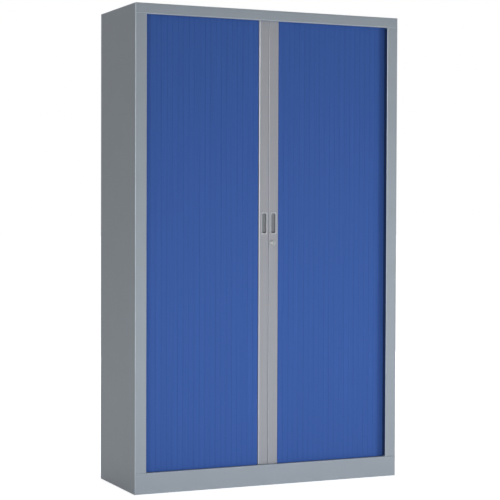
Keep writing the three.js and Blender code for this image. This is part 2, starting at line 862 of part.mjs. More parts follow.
function curtainStrip() {
  const [near, far] = [0, slatThickness];
  const outline = new THREE.Shape();
  outline.moveTo(gap / 2, far);
  outline.lineTo(gap / 2, near + grooveDepth);
  for (let i = 0; i < slatsPerStrip; i++) {
    const start = i * slatPitch;
    outline.lineTo(start + gap / 2 + grooveDepth, near);
    outline.lineTo(start + slatPitch - gap / 2 - grooveDepth, near);
    outline.lineTo(start + slatPitch - gap / 2, near + grooveDepth);
    if (i + 1 < slatsPerStrip) outline.lineTo(start + slatPitch + gap / 2, near + grooveDepth);
  }
  outline.lineTo(stripWidth - gap / 2, far);
  const middle = stripWidth / 2;
  const tongue = block(
    [middle - tongueWidth / 2, middle + tongueWidth / 2],
    [near, far],
    [tongueBottomZ, tongueTopZ],
  );
  return join(upright(outline, [slatBottomZ, slatTopZ]), tongue);
}

for (const [hand, side] of [["left", -1], ["right", 1]]) {
  for (let i = 0; i < stripsPerCurtain; i++) {
    const start = handleWidth + gap / 2 + i * stripWidth;
    const x = side > 0 ? start : -start - stripWidth;
    const name = `${hand}_curtain_strip_${String(i + 1).padStart(2, "0")}`;
    addPiece(name, curtainStrip(), slatPlastic(), [x, frontY + slatSetback, 0]);
  }
}

export default cabinet;
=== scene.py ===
# Tambour door cabinet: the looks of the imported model, in metres and in its frame.
import math

import bmesh
import bpy
from mathutils import Matrix, Vector


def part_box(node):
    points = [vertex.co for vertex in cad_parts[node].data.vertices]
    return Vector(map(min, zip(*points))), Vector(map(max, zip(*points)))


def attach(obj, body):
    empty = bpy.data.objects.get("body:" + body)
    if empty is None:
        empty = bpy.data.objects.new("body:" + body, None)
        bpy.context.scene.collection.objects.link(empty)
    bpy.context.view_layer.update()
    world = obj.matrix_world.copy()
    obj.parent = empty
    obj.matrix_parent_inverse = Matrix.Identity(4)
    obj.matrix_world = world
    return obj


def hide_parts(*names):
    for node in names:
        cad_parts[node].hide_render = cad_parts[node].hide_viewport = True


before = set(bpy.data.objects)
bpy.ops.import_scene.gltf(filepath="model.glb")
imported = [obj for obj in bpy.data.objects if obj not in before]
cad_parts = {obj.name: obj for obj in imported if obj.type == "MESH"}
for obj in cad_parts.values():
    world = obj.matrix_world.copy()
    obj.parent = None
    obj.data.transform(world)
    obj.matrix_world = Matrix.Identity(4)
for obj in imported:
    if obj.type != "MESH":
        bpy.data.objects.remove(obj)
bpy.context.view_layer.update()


# Camera: it stands 6.6 m off, to the left in front of the cabinet and a little over half its
# height. Its place, turn and focal length were found from the corners of the carcass.
def placed(name, data):
    """Puts a new object into the scene."""
    made = bpy.data.objects.new(name, data)
    bpy.context.scene.collection.objects.link(made)
    return made


camera_place = Vector((-2.713, -6.043, 1.147))
camera_yaw = math.radians(24.19)  # from straight ahead towards the right side
camera_pitch = math.radians(-1.45)
camera_roll = math.radians(0.20)
focal_length = 110.96
sensor_width = 36
ahead = Vector((math.sin(camera_yaw), math.cos(camera_yaw), math.tan(camera_pitch))).normalized()
level_right = Vector((math.cos(camera_yaw), -math.sin(camera_yaw), 0))
level_up = level_right.cross(ahead)
camera_right = math.cos(camera_roll) * level_right + math.sin(camera_roll) * level_up
camera_up = math.cos(camera_roll) * level_up - math.sin(camera_roll) * level_right
camera = placed("camera", bpy.data.cameras.new("camera"))
camera.data.lens = focal_length
camera.data.sensor_width = sensor_width
turn = Matrix((camera_right, camera_up, -ahead)).transposed()
camera.matrix_world = Matrix.Translation(camera_place) @ turn.to_4x4()
bpy.context.scene.camera = camera
bpy.context.scene.view_settings.view_transform = "Standard"


# Studio: a white room with a high key softbox on the left, which draws the thin shadows beside each
# ledge, others that fill in from the right, from low in front and along the left side, and one each
# for the back and the top. The room is white to the camera and to gloss, but lights weakly.
def colour(code):
    """Linear colour of an sRGB hex code."""
    parts = [int(code[i:i + 2], 16) / 255 for i in (0, 2, 4)]
    linear = [p / 12.92 if p <= 0.04045 else ((p + 0.055) / 1.055) ** 2.4 for p in parts]
    return (*linear, 1)


def node(tree, kind, inputs=None, **properties):
    """Adds a node. An input is given by name or number, as a value, as a socket, as a node whose
    first output it takes, or as such a node with the levels that its 0 and its 1 stand for."""
    made = tree.nodes.new(kind)
    for name, value in properties.items():
        setattr(made, name, value)
    for name, value in (inputs or {}).items():
        if isinstance(value, tuple) and isinstance(value[0], bpy.types.Node):
            levels = {"Value": value[0], "To Min": value[1], "To Max": value[2]}
            value = node(tree, "ShaderNodeMapRange", levels)
        if isinstance(value, bpy.types.Node):
            value = value.outputs[0]
        if isinstance(value, bpy.types.NodeSocket):
            tree.links.new(value, made.inputs[name])
        else:
            made.inputs[name].default_value = value
    return made


def seen_directly(tree):
    """1 for what the camera sees, in a reflection too, and 0 for light that spreads."""
    path = node(tree, "ShaderNodeLightPath").outputs
    direct = path["Is Camera Ray"]
    for bounce in ("Is Glossy Ray", "Is Transmission Ray"):
        direct = node(tree, "ShaderNodeMath", {0: direct, 1: path[bounce]}, operation="MAXIMUM")
    return direct


white = (1, 1, 1, 1)
room_light = 0.12
world = bpy.data.worlds.new("white_room")
bpy.context.scene.world = world
world.use_nodes = True
room = world.node_tree
room.nodes.clear()
room_level = (seen_directly(room), room_light, 1.0)
background = node(room, "ShaderNodeBackground", {"Color": white, "Strength": room_level})
node(room, "ShaderNodeOutputWorld", {"Surface": background})

# Each softbox: its bearing to the right of straight in front, distance, height, size and power
softboxes = (
    ("key_softbox", -42, 8.0, 2.7, (0.5, 0.5), 114),
    ("right_softbox", 50, 4.5, 0.4, (1.6, 0.5), 80),
    ("low_softbox", -8, 2.2, 0.14, (1.6, 0.2), 18),
    ("side_softbox", -80, 2.0, 0.15, (0.5, 0.3), 1),
    ("rear_softbox", 150, 6.0, 1.5, (1.5, 1.5), 150),
    ("top_softbox", 180, 0.4, 6.0, (1.5, 1.0), 80),
)
lit_middle = Vector((0, 0, 0.9))
for name, bearing, distance, height, size, watts in softboxes:
    lamp = bpy.data.lights.new(name, "AREA")
    lamp.shape = "RECTANGLE"
    lamp.size, lamp.size_y = size
    lamp.energy = watts
    softbox = placed(name, lamp)
    softbox.visible_glossy = name == "key_softbox"  # the others would leave a broad gleam
    turn = math.radians(bearing)
    softbox.location = (distance * math.sin(turn), -distance * math.cos(turn), height)
    aim = lit_middle - softbox.location
    softbox.rotation_euler = aim.to_track_quat("-Z", "Y").to_euler()


def new_material(name):
    """An empty material, its tree, and the place on the object for its patterns."""
    material = bpy.data.materials.new(name)
    material.use_nodes = True
    tree = material.node_tree
    tree.nodes.clear()
    return material, tree, node(tree, "ShaderNodeTexCoord").outputs["Object"]


floor_reach = 60
floor_drop = 0.0005  # under the pads of the feet, so that the faces don't coincide
floor_corners = [(-1, -1), (1, -1), (1, 1), (-1, 1)]
floor_mesh = bpy.data.meshes.new("floor")
floor_mesh.from_pydata(
    [(x * floor_reach, y * floor_reach, -floor_drop) for x, y in floor_corners], [], [(0, 1, 2, 3)]
)
floor = placed("floor", floor_mesh)
floor_paint, floor_tree, floor_place = new_material("white_floor")
floor_matt = node(floor_tree, "ShaderNodeBsdfDiffuse", {"Color": colour("F2F2F2")})
floor_distance = node(floor_tree, "ShaderNodeVectorMath", {0: floor_place}, operation="LENGTH")
floor_fade = node(
    floor_tree,
    "ShaderNodeMapRange",
    {
        "Value": floor_distance.outputs["Value"],
        "From Min": 1.5,  # metres from the cabinet
        "From Max": 6.0,
        "To Min": 0.78,
        "To Max": 1.0,
    },
)
floor_glow = node(floor_tree, "ShaderNodeEmission", {"Color": white, "Strength": floor_fade})
floor_lit = node(floor_tree, "ShaderNodeAddShader", {0: floor_matt, 1: floor_glow})
floor_looks = {0: seen_directly(floor_tree), 1: floor_matt, 2: floor_lit}
floor_surface = node(floor_tree, "ShaderNodeMixShader", floor_looks)
node(floor_tree, "ShaderNodeOutputMaterial", {"Surface": floor_surface})
floor_mesh.materials.append(floor_paint)


# Side panels: one folded sheet each of 1.2 mm steel, with the front upright and the rear flange
# bent from it. The front fold runs the full height, past the ends of the header and the plinth.
mm = 0.001
sheet = 1.2 * mm
gap = 0.3 * mm  # between neighbouring parts
fold_radius = 1.8 * mm  # inside of a fold
stile_return = 20 * mm
stile_hem = 10 * mm
rear_flange = 22 * mm
side_low, side_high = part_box("left_side_panel")
header_low, header_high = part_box("header_rail")
plinth_low, plinth_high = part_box("plinth")
outer_x = -side_low.x
front_y = side_low.y
back_y = side_high.y
stile_inner_x = -side_high.x
fold_end_x = outer_x - fold_radius - sheet
same_point = 0.001 * mm


def folded(points):
    """Section of a folded sheet. The points run along one face, with the metal on their left."""
    bend_steps = 6
    wide_radius = fold_radius + sheet
    path = [Vector(point) for point in points]
    start = (path[1] - path[0]).normalized()
    end = (path[-1] - path[-2]).normalized()
    near = [path[0]]
    far = [path[0] + Vector((-start.y, start.x)) * sheet]
    for before, point, after in zip(path, path[1:], path[2:]):
        arriving = (point - before).normalized()
        leaving = (after - point).normalized()
        bend = math.atan2(arriving.cross(leaving), arriving.dot(leaving))
        near_radius, far_radius = (wide_radius, fold_radius) if bend > 0 else (fold_radius, wide_radius)
        inwards = Vector((-arriving.y, arriving.x)) * math.copysign(1, bend)
        centre = point - arriving * near_radius * math.tan(abs(bend) / 2) + inwards * near_radius
        for step in range(bend_steps + 1):
            spoke = Matrix.Rotation(bend * step / bend_steps, 2) @ -inwards
            near.append(centre + spoke * near_radius)
            far.append(centre + spoke * far_radius)
    near.append(path[-1])
    far.append(path[-1] + Vector((-end.y, end.x)) * sheet)
    return near + far[::-1]


def turned_out(mesh):
    """Joins the doubles of a closed mesh and turns its faces outwards."""
    work = bmesh.new()
    work.from_mesh(mesh)
    bmesh.ops.remove_doubles(work, verts=work.verts, dist=same_point)
    bmesh.ops.recalc_face_normals(work, faces=work.faces)
    work.to_mesh(mesh)
    work.free()
    return mesh


def loft(name, rings):
    """A closed body through rings of the same number of points, capped at both ends."""
    count = len(rings[0])
    last = len(rings) - 1
    faces = []
    for start in range(0, last * count, count):
        for i in range(count):
            j = (i + 1) % count
            faces.append((start + i, start + j, start + count + j, start + count + i))
    faces.append(tuple(range(count)))
    faces.append(tuple(range(last * count, (last + 1) * count)))
    mesh = bpy.data.meshes.new(name)
    mesh.from_pydata([point for ring in rings for point in ring], [], faces)
    return placed(name, turned_out(mesh))


def bar(name, outline, axis, start, end):
    """A bar with that section. It is drawn in the two other axes, in the order x, y, z."""
    k = "xyz".index(axis)
    return loft(name, [[(*point[:k], along, *point[k:]) for point in outline] for along in (start, end)])


def block(name, x, y, z):
    return bar(name, [(x[0], y[0]), (x[1], y[0]), (x[1], y[1]), (x[0], y[1])], "z", *z)


def settle(made):
    """Works the modifiers of a piece into its mesh."""
    graph = bpy.context.evaluated_depsgraph_get()
    mesh = bpy.data.meshes.new_from_object(made.evaluated_get(graph))
    made.modifiers.clear()
    made.data = mesh
    return made


def cut(made, *tools, operation="DIFFERENCE"):
    """Cuts the tools out of a piece."""
    for tool in tools:
        step = made.modifiers.new("step", "BOOLEAN")
        step.solver = "EXACT"
        step.operation = operation
        step.object = tool
    settle(made)
    for tool in tools:
        bpy.data.objects.remove(tool)


def join(made, *others):
    cut(made, *others, operation="UNION")


def shade(made, sharp_degrees):
    """Shades a piece smooth, but for edges sharper than that."""
    made.data.shade_smooth()
    made.data.set_sharp_from_angle(angle=math.radians(sharp_degrees))


def weigh_normals(made):
    """Shades each flat flat, right up to its rounded edges."""
    made.modifiers.new("flats", "WEIGHTED_NORMAL").keep_sharp = True
    return settle(made)


def soften(made, width, steps=1):
    """Rounds the sharp edges and shades the flats flat."""
    edges = made.modifiers.new("edges", "BEVEL")
    edges.width = width
    edges.segments = steps
    edges.limit_method = "ANGLE"
    edges.angle_limit = math.radians(32)  # more than a fold or a round part turns at each step
    edges.use_clamp_overlap = True
    settle(made)
    shade(made, 50)
    return weigh_normals(made)


def mirrored(made, name):
    """The same piece for the other side of the cabinet."""
    mesh = made.data.copy()
    mesh.transform(Matrix.Scale(-1, 4, (1, 0, 0)))
    mesh.flip_normals()
    other = placed(name, mesh)
    if not mesh.has_custom_normals:
        return other
    mesh.attributes.remove(mesh.attributes["custom_normal"])
    return weigh_normals(other)


def finish(made, coating, body, slot, *nodes):
    """Gives a piece its material and body, and hides the nodes it stands for; the slot is not used."""
    made.data.materials.clear()
    made.data.materials.append(coating)
    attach(made, body)
    if nodes:
        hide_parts(*nodes)


def bend_highlight_share(tree):
    """Share of the painted highlight on bends: 0 on the flats and 1 halfway round, from the surface's
    direction.
    """
    facing = node(tree, "ShaderNodeNewGeometry").outputs["Normal"]
    size = node(tree, "ShaderNodeVectorMath", {0: facing}, operation="ABSOLUTE")
    parts = node(tree, "ShaderNodeSeparateXYZ", {0: size}).outputs
    largest = parts[0]
    for part in parts[1:]:
        largest = node(tree, "ShaderNodeMath", {0: largest, 1: part}, operation="MAXIMUM")
    return node(tree, "ShaderNodeMapRange", {"Value": largest, "From Min": 0.99, "From Max": 0.8})


def surface(tree, code, shares, relief, looks):
    """Ends a material: a colour times each share, a relief of some strength and depth, and the rest."""
    tint = colour(code)[:3]
    for share in shares:
        tint = node(tree, "ShaderNodeVectorMath", {0: tint, "Scale": share}, operation="SCALE")
    height, strength, depth = relief
    bump = node(tree, "ShaderNodeBump", {"Strength": strength, "Distance": depth, "Height": height})
    shader = node(tree, "ShaderNodeBsdfPrincipled", {"Base Color": tint, "Normal": bump, **looks})
    node(tree, "ShaderNodeOutputMaterial", {"Surface": shader})


# Powder coat, baked on steel: satin, with a faint orange peel of about 2 mm and tiny flakes, so
# that the grey is never quite even. The bends get a painted highlight: lighter, smoother and metallic.
powder_coat, paint, paint_place = new_material("satin_powder_coat")
paint_clouds = node(paint, "ShaderNodeTexNoise", {"Vector": paint_place, "Scale": 9.0, "Detail": 3.0})
paint_peel = node(paint, "ShaderNodeTexNoise", {"Vector": paint_place, "Scale": 480.0, "Detail": 2.0})
paint_flakes = node(paint, "ShaderNodeTexVoronoi", {"Vector": paint_place, "Scale": 2200.0})
paint_bend_highlight = bend_highlight_share(paint)
surface(
    paint,
    "979FA7",
    [(paint_clouds, 0.965, 1.035), (paint_flakes, 1.03, 0.97), (paint_bend_highlight, 1.0, 1.5)],
    (paint_peel, 0.25, 0.06 * mm),
    {
        "Roughness": (paint_bend_highlight, (paint_peel, 0.42, 0.54), 0.38),
        "Metallic": (paint_bend_highlight, 0.0, 0.85),
        "Specular IOR Level": 0.16,
    },
)

side_section = folded(
    [
        (rear_flange - outer_x, back_y),
        (-outer_x, back_y),
        (-outer_x, front_y),
        (-stile_inner_x, front_y),
        (-stile_inner_x, front_y + stile_return),
        (-stile_inner_x - stile_hem, front_y + stile_return),
    ]
)
left_side = bar("left_side", side_section, "z", side_low.z, side_high.z)
beside_fold = (-fold_end_x, -stile_inner_x + mm)
stile_depth = (front_y - mm, front_y + stile_return + mm)


def new_tree(name, **inputs):
    """A Geometry Nodes tree with named inputs, and these inputs inside it."""
    tree = bpy.data.node_groups.new(name, "GeometryNodeTree")
    tree.is_modifier = True
    for label, kind in inputs.items():
        tree.interface.new_socket(label, in_out="INPUT", socket_type=f"NodeSocket{kind}")
    tree.interface.new_socket("result", in_out="OUTPUT", socket_type="NodeSocketGeometry")
    return tree, node(tree, "NodeGroupInput").outputs


def end_tree(tree, result, material):
    """Ends a tree with plain mesh in that material."""
    real = node(tree, "GeometryNodeRealizeInstances", {0: result})
    coated = node(tree, "GeometryNodeSetMaterial", {"Geometry": real, "Material": material})
    node(tree, "NodeGroupOutput", {0: coated})


def grid_tree(name, material):
    """Repeats a small part in rows and columns."""
    tree, given = new_tree(
        name, part="Geometry", column_count="Int", column_step="Vector", row_count="Int", row_step="Vector"
    )
    result = given["part"]
    for axis in ("column", "row"):
        line_sizes = {"Count": given[f"{axis}_count"], "Offset": given[f"{axis}_step"]}
        line = node(tree, "GeometryNodeMeshLine", line_sizes)
        result = node(tree, "GeometryNodeInstanceOnPoints", {"Points": line, "Instance": result})
    end_tree(tree, result, material)
    return tree


def grown(made, tree, **sizes):
    """Runs a Geometry Nodes tree on a piece and keeps the result as its mesh."""
    step = made.modifiers.new("nodes", "NODES")
    step.node_group = tree
    for item in tree.interface.items_tree:
        if item.name in sizes:
            step[item.identifier] = sizes[item.name]
    return settle(made)


def circle(x, y, radius, sides=24):
    turns = [2 * math.pi * i / sides for i in range(sides)]
    return [(x + radius * math.cos(turn), y + radius * math.sin(turn)) for turn in turns]


def turned(name, profile, x, y, z, axis="z", sides=24):
    """A round part. Its profile gives radius and height, and ends on the axis or where it began."""
    work = bmesh.new()
    rings = []
    for radius, height in profile:
        ring = []
        for across, beside in circle(0, 0, radius, sides if radius > 0 else 1):
            local = (across, beside, height) if axis == "z" else (across, height, beside)
            ring.append(work.verts.new((x + local[0], y + local[1], z + local[2])))
        rings.append(ring)
    for low, high in zip(rings, rings[1:]):
        for i in range(sides):
            near = (low[i % len(low)], low[(i + 1) % len(low)])
            far = (high[(i + 1) % len(high)], high[i % len(high)])
            corners = list(dict.fromkeys(near + far))
            if len(corners) > 2:
                work.faces.new(corners)
    mesh = bpy.data.meshes.new(name)
    work.to_mesh(mesh)
    work.free()
    return placed(name, turned_out(mesh))


# The rear flange is countersunk for the screws of the back panel
screw_head_radius = 4 * mm
screw_shank_radius = 2 * mm
screw_end = 90 * mm  # from the ends of the panel to the first screw
screw_spacing = 180 * mm
screw_x = outer_x - rear_flange / 2
panel_low, panel_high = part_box("back_panel")
screw_count = round((panel_high.z - panel_low.z - 2 * screw_end) / screw_spacing) + 1
row_sizes = dict(
    column_count=2,
    column_step=(2 * screw_x, 0, 0),
    row_count=screw_count,
    row_step=(0, 0, (panel_high.z - panel_low.z - 2 * screw_end) / (screw_count - 1)),
)
first_screw = (-screw_x, back_y, panel_low.z + screw_end)
sink_profile = [
    (0, mm),
    (screw_head_radius + 0.5 * mm, mm),
    (screw_head_radius + 0.35 * mm, 0),
    (screw_shank_radius + 0.25 * mm, -2.1 * mm),
    (screw_shank_radius + 0.25 * mm, -3 * mm),
    (0, -3 * mm),
]
sink_rows = grid_tree("sink_rows", powder_coat)


def screw_sinks():
    sinks = turned("sinks", sink_profile, *first_screw, axis="y", sides=20)
    return grown(sinks, sink_rows, **row_sizes)


cut(
    left_side,
    block("below", beside_fold, stile_depth, (-mm, plinth_high.z + gap)),
    block("above", beside_fold, stile_depth, (header_low.z - gap, header_high.z + mm)),
    screw_sinks(),
)
soften(left_side, 0.25 * mm)
right_side = mirrored(left_side, "right_side")
finish(left_side, powder_coat, "carcass", "painted_steel", "left_side_panel")
finish(right_side, powder_coat, "carcass", "painted_steel", "right_side_panel")


# Header rail and plinth: folded channels of the same sheet between the side panels. The header
# closes over the tops of the uprights and the plinth carries them; each plinth end has a peephole.
rail_return = 18 * mm  # lower return of the header, upper return of the plinth
hidden_flange = 25 * mm
rail_end_x = fold_end_x - gap
peephole_x = outer_x - 50 * mm
peephole_z = plinth_high.z - 20 * mm
peephole_radius = 2 * mm
through_front = (front_y - mm, front_y + sheet + mm)


def rail(name, low, high, upper_flange, lower_flange):
    upper = [(front_y + upper_flange, high.z), (front_y, high.z)]
    lower = [(front_y, low.z), (front_y + lower_flange, low.z)]
    return bar(name, folded(upper + lower), "x", -rail_end_x, rail_end_x)


header = rail("header", header_low, header_high, hidden_flange, rail_return)
finish(soften(header, 0.25 * mm), powder_coat, "carcass", "painted_steel", "header_rail")
base_front = rail("base_front", plinth_low, plinth_high, rail_return, hidden_flange)
peepholes = [circle(x, peephole_z, peephole_radius) for x in (-peephole_x, peephole_x)]
cut(base_front, *[bar("hole", outline, "y", *through_front) for outline in peepholes])
finish(soften(base_front, 0.25 * mm), powder_coat, "carcass", "painted_steel", "plinth")


# Top cover, bottom panel and ceiling panel: flanged lids and trays of the same sheet, pressed and
# spot-welded into the carcass. Their cut edges are rounded by the coating.
def rounded_copy(name, cad_node, width, steps, coating, body, slot):
    """Replaces a node by its own shape with rounded edges."""
    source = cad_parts[cad_node].data
    mesh = bpy.data.meshes.new(name)
    corners = [tuple(v.co) for v in source.vertices]
    mesh.from_pydata(corners, [], [tuple(face.vertices) for face in source.polygons])
    work = bmesh.new()
    work.from_mesh(mesh)
    bmesh.ops.remove_doubles(work, verts=work.verts, dist=same_point)
    bmesh.ops.dissolve_limit(
        work, angle_limit=math.radians(0.5), verts=work.verts, edges=work.edges
    )
    work.to_mesh(mesh)
    work.free()
    finish(soften(placed(name, mesh), width, steps), coating, body, slot, cad_node)


for name, cad_node in (
    ("cover", "top_cover"),
    ("floor_tray", "bottom_panel"),
    ("ceiling_tray", "ceiling_panel"),
):
    rounded_copy(name, cad_node, 0.4 * mm, 2, powder_coat, "carcass", "painted_steel")


# Back panel: a flat sheet of the same steel on the inside of the rear flanges, held by a row of
# countersunk screws on each side. They are zinc-plated, with a cross recess, and lie flush.
screw_sink = 0.1 * mm  # of the head under the face of the flange
cross_arm = (0.5 * mm, 2.1 * mm)  # half its width and half its length
cross_depth = (back_y - 1.2 * mm, back_y + mm)

# Zinc plate on steel: bluish and semi-bright, with faint spangles of about 8 mm and a fine grain
# that breaks up its shine.
zinc, zinc_tree, zinc_place = new_material("zinc_plated_steel")
zinc_spangle = node(zinc_tree, "ShaderNodeTexVoronoi", {"Vector": zinc_place, "Scale": 120.0})
zinc_grain = node(zinc_tree, "ShaderNodeTexNoise", {"Vector": zinc_place, "Scale": 700.0, "Detail": 3.0})
surface(
    zinc_tree,
    "A4A9AE",
    [(zinc_spangle, 0.93, 1.05)],
    (zinc_grain, 0.2, 0.03 * mm),
    {"Roughness": (zinc_grain, 0.28, 0.48), "Metallic": 1.0},
)


def about(middle, reach):
    return (middle - reach, middle + reach)


screw_rows = grid_tree("screw_rows", zinc)
head_profile = [
    (0, -screw_sink),
    (screw_head_radius - 0.2 * mm, -screw_sink),
    (screw_head_radius, -screw_sink - 0.15 * mm),
    (screw_shank_radius, -2.1 * mm),
    (screw_shank_radius, -2.4 * mm),
    (0, -2.4 * mm),
]
screws = turned("back_screws", head_profile, *first_screw, axis="y", sides=20)
for wide, high in (cross_arm, cross_arm[::-1]):
    cut(screws, block("cross", about(-screw_x, wide), cross_depth, about(first_screw[2], high)))
grown(screws, screw_rows, **row_sizes)
shade(screws, 30)
back = block("back", *zip(panel_low, panel_high))
cut(back, screw_sinks())
finish(soften(back, 0.3 * mm, 2), powder_coat, "carcass", "painted_steel", "back_panel")
finish(screws, zinc, "carcass", "galvanised_steel")


# Base channels: inverted galvanised channels welded under the bottom panel, one at each side, with
# a threaded boss over each foot.
for hand in ("left", "right"):
    cad_node = f"{hand}_base_channel"
    rounded_copy(f"{hand}_channel", cad_node, 0.3 * mm, 1, zinc, "carcass", "galvanised_steel")


# Levelling feet: a zinc-plated screw with a hexagon socket in its top end, moulded into a black
# polyamide pad. The screw is rolled, so its thread stands on a thinner core.
pad_radius = 20 * mm
pad_thickness = 5 * mm
neck_radius = 8 * mm
neck_top = 9 * mm
screw_radius = 5 * mm
thread_pitch = 1.75 * mm  # a real screw of 10 mm has 1.5 mm
thread_depth = 0.9 * mm
ridge_half = 0.42 * thread_pitch  # half the width of a ridge at its foot
core_radius = screw_radius - thread_depth
thread_start = 11 * mm
socket_depth = 8 * mm
socket_radius = 3 * mm

# Moulded polyamide: black-grey and dull, with a fine spark-eroded grain of about half a
# millimetre, drawn at one millimetre so that it shows.
polyamide, pad_tree, pad_place = new_material("moulded_polyamide")
pad_grain = node(pad_tree, "ShaderNodeTexNoise", {"Vector": pad_place, "Scale": 1000.0, "Detail": 2.0})
pad_flow = node(pad_tree, "ShaderNodeTexNoise", {"Vector": pad_place, "Scale": 40.0, "Detail": 2.0})
surface(
    pad_tree,
    "34373A",
    [(pad_flow, 0.85, 1.15)],
    (pad_grain, 0.35, 0.08 * mm),
    {"Roughness": (pad_grain, 0.5, 0.68), "IOR": 1.53},
)

thread_tree, thread_given = new_tree(
    "screw_thread", ridge="Geometry", turns="Float", radius="Float", length="Float", place="Vector"
)
thread_path = node(
    thread_tree,
    "GeometryNodeCurveSpiral",
    {
        "Resolution": 16,
        "Rotations": thread_given["turns"],
        "Start Radius": thread_given["radius"],
        "End Radius": thread_given["radius"],
        "Height": thread_given["length"],
    },
)
thread_ridge = node(thread_tree, "GeometryNodeMeshToCurve", {"Mesh": thread_given["ridge"]})
thread_upright = node(thread_tree, "GeometryNodeSetCurveNormal", {"Curve": thread_path}, mode="Z_UP")
thread_parts = {"Curve": thread_upright, "Profile Curve": thread_ridge, "Fill Caps": True}
thread_swept = node(thread_tree, "GeometryNodeCurveToMesh", thread_parts)
thread_move = {"Geometry": thread_swept, "Translation": thread_given["place"]}
end_tree(thread_tree, node(thread_tree, "GeometryNodeTransform", thread_move), zinc)

pad_profile = [
    (0, 0),
    (pad_radius - 3 * mm, 0),
    (pad_radius - 1.2 * mm, 0.5 * mm),
    (pad_radius - 0.3 * mm, 1.6 * mm),
    (pad_radius, 3 * mm),
    (pad_radius - 0.4 * mm, pad_thickness - 0.5 * mm),
    (pad_radius - 1.6 * mm, pad_thickness + 0.1 * mm),
    (neck_radius + 4 * mm, pad_thickness + 1.4 * mm),
    (neck_radius + 0.6 * mm, neck_top - 1.2 * mm),
    (neck_radius, neck_top),
    (screw_radius + 0.3 * mm, neck_top + 0.3 * mm),
    (screw_radius - 0.5 * mm, neck_top),
    (0, neck_top),
]
for foot_name in ("front_left", "front_right", "rear_left", "rear_right"):
    foot_low, foot_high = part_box(f"{foot_name}_foot")
    foot_x = (foot_low.x + foot_high.x) / 2
    foot_y = (foot_low.y + foot_high.y) / 2
    pad = turned(f"{foot_name}_pad", pad_profile, foot_x, foot_y, foot_low.z, sides=40)
    shade(pad, 40)
    core_profile = [
        (0, neck_top + 0.01 * mm),
        (screw_radius, neck_top + 0.01 * mm),
        (screw_radius, thread_start),
        (core_radius, thread_start + mm),
        (core_radius, foot_high.z - 1.6 * mm),
        (core_radius, foot_high.z - foot_low.z),
        (0, foot_high.z - foot_low.z),
    ]
    core = turned(f"{foot_name}_screw", core_profile, foot_x, foot_y, foot_low.z)
    hexagon = circle(foot_x, foot_y, socket_radius, 6)
    cut(core, bar("socket", hexagon, "z", foot_high.z - socket_depth, foot_high.z + mm))
    soften(core, 0.15 * mm)
    ridge_corners = [(-thread_depth, -ridge_half, 0), (-thread_depth, ridge_half, 0), (0, 0, 0)]
    ridge_mesh = bpy.data.meshes.new(f"{foot_name}_thread")
    ridge_mesh.from_pydata(ridge_corners, [(0, 1), (1, 2), (2, 0)], [])
    ridge_bottom = thread_start + mm
    ridge_length = foot_high.z - mm - ridge_bottom
    ridge = grown(
        placed(f"{foot_name}_thread", ridge_mesh),
        thread_tree,
        turns=ridge_length / thread_pitch,
        radius=screw_radius,
        length=ridge_length,
        place=(foot_x, foot_y, ridge_bottom),
    )
    turned_out(ridge.data)
    body = f"{foot_name}_foot_screw"
    finish(pad, polyamide, body, "track_plastic", f"{foot_name}_foot")
    finish(core, zinc, body, "galvanised_steel")
    finish(ridge, zinc, body, "galvanised_steel")


# Inner liners: a folded side wall with two columns of slots for the shelf lugs, and half of the
# inner back. They hide the curtain pockets, and the shelves can be re-hung in any pair of slots.
liner_hem = 6 * mm
lug_thickness = 3 * mm
lug_height = 12 * mm
lug_drop = 8 * mm  # from the top of a shelf
lug_reach = 4 * mm
lug_hook = 2 * mm
lug_hook_drop = 4 * mm
lug_inset = 40 * mm  # from the front and back of the storage space
slot_height = 17 * mm
slot_width = 3.6 * mm
slot_margin = 25 * mm  # left free at the ends of a liner
slots_per_bay = 15
shelf_boxes = [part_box(f"shelf_{i}") for i in range(1, 5)]
shelf_tops = [high.z for low, high in shelf_boxes]
slot_step = (shelf_tops[1] - shelf_tops[0]) / slots_per_bay
liner_low, liner_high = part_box("left_inner_liner")
interior_x = shelf_boxes[0][1].x - lug_reach + gap
lug_ys = (liner_low.y + lug_inset, liner_high.y - sheet - lug_inset)
slot_top = shelf_tops[0] - lug_drop - lug_height - gap + slot_height
slots_below = int((slot_top - slot_height - liner_low.z - slot_margin) / slot_step)
first_slot_top = slot_top - slots_below * slot_step
slot_count = int((liner_high.z - slot_margin - first_slot_top) / slot_step) + 1

slot_grid = grid_tree("shelf_slots", powder_coat)
liner_section = folded(
    [
        (-interior_x - liner_hem, liner_low.y),
        (-interior_x, liner_low.y),
        (-interior_x, liner_high.y - sheet),
        (-gap / 2, liner_high.y - sheet),
    ]
)
left_wall = bar("left_wall", liner_section, "z", liner_low.z, liner_high.z)
slot_cutters = block(
    "slots",
    (-interior_x - sheet - mm, -interior_x + mm),
    about(lug_ys[0], slot_width / 2),
    (first_slot_top - slot_height, first_slot_top),
)
grown(
    slot_cutters,
    slot_grid,
    column_count=2,
    column_step=(0, lug_ys[1] - lug_ys[0], 0),
    row_count=slot_count,
    row_step=(0, 0, slot_step),
)
cut(left_wall, slot_cutters)
soften(left_wall, 0.2 * mm)
right_wall = mirrored(left_wall, "right_wall")
finish(left_wall, powder_coat, "carcass", "painted_steel", "left_inner_liner")
finish(right_wall, powder_coat, "carcass", "painted_steel", "right_inner_liner")


